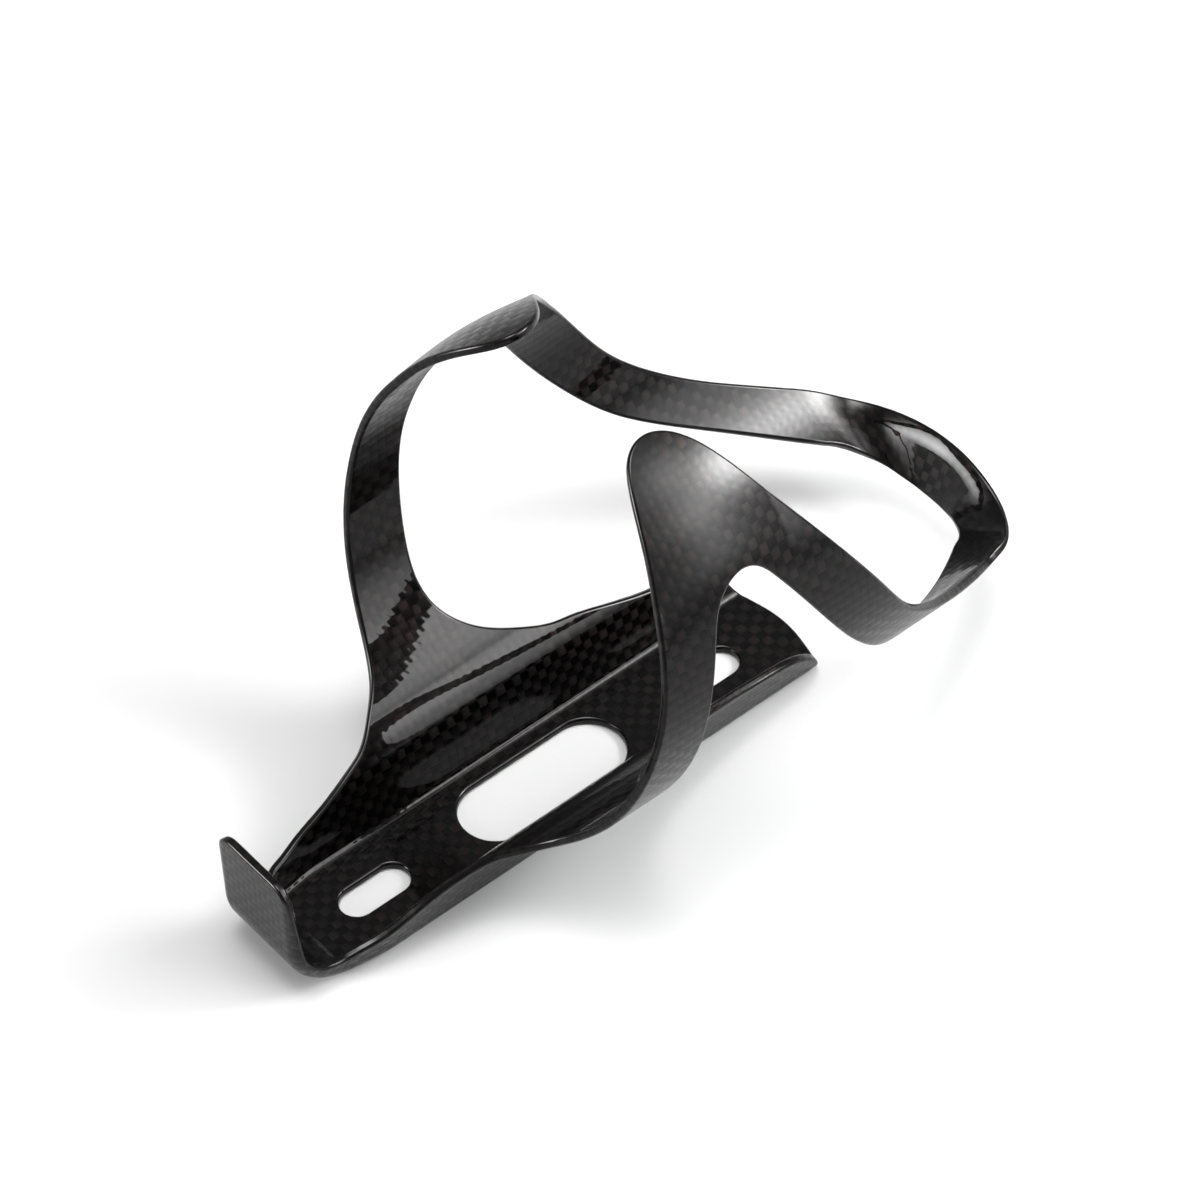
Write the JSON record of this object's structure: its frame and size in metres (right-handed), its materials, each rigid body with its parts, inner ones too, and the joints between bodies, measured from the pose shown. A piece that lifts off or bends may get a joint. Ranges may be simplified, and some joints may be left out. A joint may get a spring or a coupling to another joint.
{
  "type": "water bottle cage",
  "caption": "One-piece moulded carbon water bottle cage with a slotted spine, two side wings whose arms wrap the bottle, and a loop that holds the bottle's base.",
  "frame": {"origin": "midway between the two bolt slots, on the mounting face", "axes": "+Z away from the bicycle's frame tube, +X along the spine towards the end that carries the bottle's base, +Y across the cage; the XZ plane is its mirror plane"},
  "size_m": [0.1354, 0.0714, 0.0784],
  "materials": {
    "carbon_deep": "clear-coated woven carbon, dark where it faces inward",
    "carbon_open": "clear-coated woven carbon, warm grey under the light"
  },
  "bodies": {
    "root": {"spine_deck": "carbon_deep", "spine_wall_left": "carbon_deep", "spine_wall_right": "carbon_deep", "wing_left": "carbon_open", "wing_right": "carbon_open", "arm_left": "carbon_deep", "arm_right": "carbon_deep", "tip_left": "carbon_open", "tip_right": "carbon_open", "band_left": "carbon_deep", "band_right": "carbon_deep", "heel_left": "carbon_open", "heel_right": "carbon_open", "base_stop": "carbon_deep", "tab_root": "carbon_deep", "top_tab": "carbon_open"}
  },
  "joints": []
}
